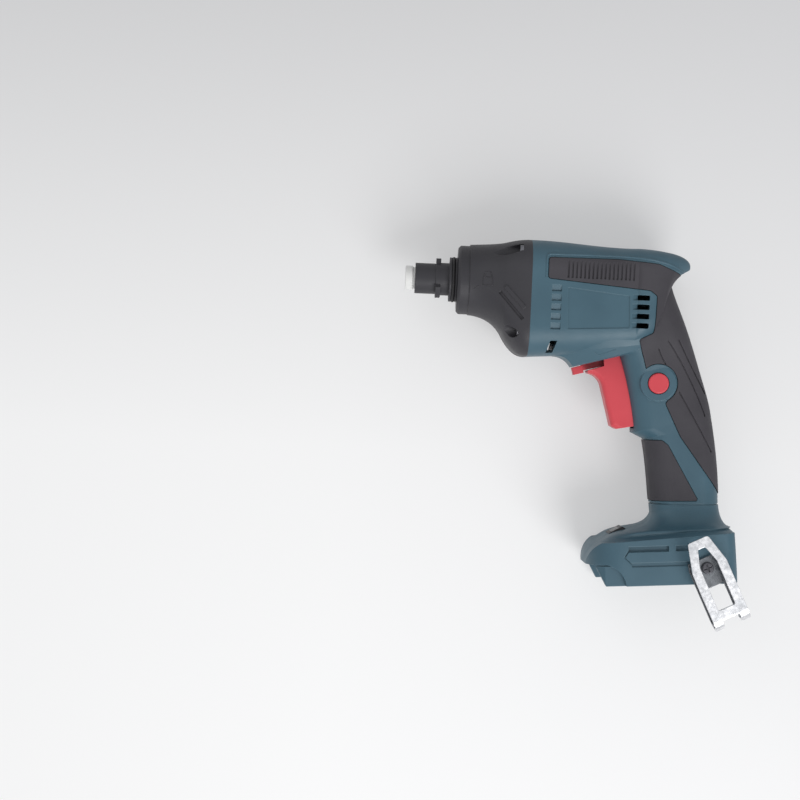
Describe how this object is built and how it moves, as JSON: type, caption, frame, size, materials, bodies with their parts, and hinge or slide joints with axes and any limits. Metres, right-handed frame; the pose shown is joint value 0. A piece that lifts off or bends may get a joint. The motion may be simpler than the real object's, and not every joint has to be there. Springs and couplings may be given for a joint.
{
  "type": "cordless screw gun",
  "caption": "Bare cordless drywall screw gun: bayonet nose with hex bit spindle, pistol grip with trigger, reverse lever and lock button, and a battery foot with belt hook and work light.",
  "frame": {"origin": "on the spindle axis, at the front face of the nose collar", "axes": "+X back along the spindle, +Y up the tool, +Z out of its left side; the tool lies on its right side"},
  "size_m": [0.2387, 0.2573, 0.091],
  "materials": {
    "housing_plastic": "fine moulded texture",
    "gear_case": "moulded texture",
    "grip_rubber": "matt",
    "red_plastic": "satin",
    "white_plastic": "satin",
    "black_plastic": "moulded",
    "seal_rubber": "matt",
    "bright_steel": "brushed",
    "screw_steel": "black oxide",
    "gear_steel": "ground",
    "core_steel": "laminated",
    "magnet": "plated",
    "copper": "varnished",
    "brass": "turned",
    "aluminium": "cast",
    "circuit_board": "solder mask",
    "lens": "clear"
  },
  "bodies": {
    "housing": {"nose_collar": "gear_case", "gear_housing": "gear_case", "nose_bush": "white_plastic", "nose_seal_ring": "seal_rubber", "gear_bearing": "gear_steel", "gear_bracket": "aluminium", "front_motor_bearing": "gear_steel", "rear_motor_bearing": "gear_steel", "stator": "core_steel", "stator_windings": "copper", "rear_grip_left": "grip_rubber", "rear_grip_right": "grip_rubber", "front_grip_left": "grip_rubber", "front_grip_right": "grip_rubber", "left_shell": "housing_plastic", "right_shell": "housing_plastic", "housing_screws": "screw_steel", "gear_housing_screws": "gear_steel", "hook_inserts": "brass", "belt_hook": "bright_steel", "hook_screw": "screw_steel", "switch_body": "black_plastic", "lever_pin": "gear_steel", "controller_board": "circuit_board", "heat_sink": "aluminium", "terminal_block": "black_plastic", "battery_contacts": "brass", "work_light_holder": "black_plastic", "work_light_board": "circuit_board", "work_light_lens": "lens"},
    "rotor": {"motor_shaft": "gear_steel", "pinion": "gear_steel", "rotor_core": "core_steel", "rotor_magnets": "magnet", "fan": "black_plastic"},
    "drive_gear": {"drive_gear": "gear_steel"},
    "spindle": {"bit_holder": "gear_steel", "spindle": "gear_steel", "clutch_spring": "bright_steel"},
    "trigger": {"trigger": "red_plastic", "trigger_plunger": "black_plastic", "trigger_spring": "bright_steel"},
    "reverse_lever": {"reverse_lever": "red_plastic"},
    "lock_button": {"lock_button": "red_plastic", "lock_button_spring": "bright_steel"}
  },
  "joints": [
    {"name": "rotor_spin", "type": "hinge", "parent": "housing", "child": "rotor", "pos_m": [0.1, -0.0164, 0], "axis": [1, 0, 0], "continuous": true},
    {"name": "drive_gear_spin", "type": "hinge", "parent": "housing", "child": "drive_gear", "pos_m": [0.061, 0, 0], "axis": [1, 0, 0], "continuous": true},
    {"name": "spindle_push", "type": "slide", "parent": "drive_gear", "child": "spindle", "axis": [1, 0, 0], "range_m": [0, 0.005], "stiffness_N_per_m": 1500, "springref_m": -0.002, "deforming": ["clutch_spring"]},
    {"name": "trigger_pull", "type": "slide", "parent": "housing", "child": "trigger", "axis": [0.9636, 0.2672, 0], "range_m": [0, 0.0065], "stiffness_N_per_m": 900, "springref_m": -0.003, "deforming": ["trigger_spring"]},
    {"name": "reverse_lever_turn", "type": "hinge", "parent": "housing", "child": "reverse_lever", "pos_m": [0.16307, -0.04502, 0], "axis": [-0.2672, 0.9636, 0], "range_deg": [-8, 8]},
    {"name": "lock_button_push", "type": "slide", "parent": "housing", "child": "lock_button", "axis": [0, 0, -1], "range_m": [0, 0.003], "stiffness_N_per_m": 700, "springref_m": -0.002, "deforming": ["lock_button_spring"]}
  ],
  "couplings": [
    {"joint": "drive_gear_spin", "follows": "rotor_spin", "ratio": -0.28125}
  ]
}
